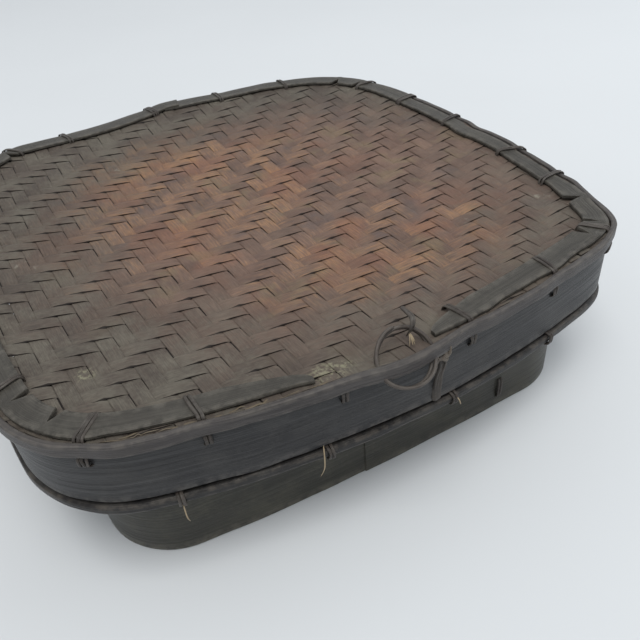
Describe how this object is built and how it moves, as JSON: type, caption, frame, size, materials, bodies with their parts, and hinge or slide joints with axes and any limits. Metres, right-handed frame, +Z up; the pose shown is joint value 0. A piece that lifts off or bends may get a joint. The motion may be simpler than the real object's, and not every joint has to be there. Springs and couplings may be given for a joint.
{
  "type": "bamboo steamer basket",
  "caption": "Square lidded basket of twill-woven bamboo with bent bamboo bands, rattan stitches and a small pull ring; the bowed lid drops over a straight-sided base.",
  "frame": {"origin": "centre of the basket's underside, on the surface that it stands on", "axes": "+Z up, the front with the pull ring faces -Y, +X to the right of someone who faces the front"},
  "size_m": [0.3475, 0.3715, 0.1057],
  "materials": {
    "dark_bamboo": "aged dark bamboo, satin from handling",
    "base_bamboo": "aged olive-brown bamboo, satin",
    "woven_bamboo": "smoked bamboo strips, worn to orange-brown in places",
    "bead_bamboo": "aged bamboo lath, satin",
    "rattan": "dark split rattan, slightly glossy"
  },
  "bodies": {
    "base": {"base_foot_lath_left": "base_bamboo", "base_foot_lath_middle": "base_bamboo", "base_foot_lath_right": "base_bamboo", "base_inner_wall": "base_bamboo", "base_outer_band": "base_bamboo", "base_rim_inner_lath": "base_bamboo", "base_rim_outer_lath": "base_bamboo", "base_stitch_back": "rattan", "base_stitch_front": "rattan", "base_stitch_left": "rattan", "base_stitch_right": "rattan", "base_woven_bottom": "woven_bamboo"},
    "lid": {"front_strap": "rattan", "hoop_stitch_back_1": "rattan", "hoop_stitch_back_2": "rattan", "hoop_stitch_back_3": "rattan", "hoop_stitch_front_1": "rattan", "hoop_stitch_front_2": "rattan", "hoop_stitch_front_3": "rattan", "hoop_stitch_front_4": "rattan", "hoop_stitch_left_1": "rattan", "hoop_stitch_left_2": "rattan", "hoop_stitch_right_1": "rattan", "hoop_stitch_right_2": "rattan", "hoop_stitch_right_3": "rattan", "lid_inner_hoop": "bead_bamboo", "lid_inner_wall": "dark_bamboo", "lid_outer_band": "dark_bamboo", "lid_outer_hoop": "bead_bamboo", "lid_rim_bead": "bead_bamboo", "lid_stitch_back_1": "rattan", "lid_stitch_back_2": "rattan", "lid_stitch_back_3": "rattan", "lid_stitch_back_4": "rattan", "lid_stitch_back_5": "rattan", "lid_stitch_front_1": "rattan", "lid_stitch_front_2": "rattan", "lid_stitch_front_3": "rattan", "lid_stitch_front_4": "rattan", "lid_stitch_front_5": "rattan", "lid_stitch_front_short": "rattan", "lid_stitch_left_1": "rattan", "lid_stitch_left_2": "rattan", "lid_stitch_left_3": "rattan", "lid_stitch_left_4": "rattan", "lid_stitch_left_5": "rattan", "lid_stitch_right_1": "rattan", "lid_stitch_right_2": "rattan", "lid_stitch_right_3": "rattan", "lid_stitch_right_4": "rattan", "lid_stitch_right_5": "rattan", "lid_top_lath_left": "dark_bamboo", "lid_top_lath_right": "dark_bamboo", "lid_woven_panel": "woven_bamboo", "strap_knot": "rattan"},
    "ring": {"pull_ring": "rattan", "ring_tie": "rattan"}
  },
  "joints": [
    {"name": "lid_lift", "type": "slide", "parent": "base", "child": "lid", "axis": [0, 0, 1], "range_m": [0, 0.15]},
    {"name": "ring_swing", "type": "hinge", "parent": "lid", "child": "ring", "pos_m": [-0.0008, -0.1788, 0.0925], "axis": [1, 0, 0], "range_deg": [0, 12]}
  ]
}
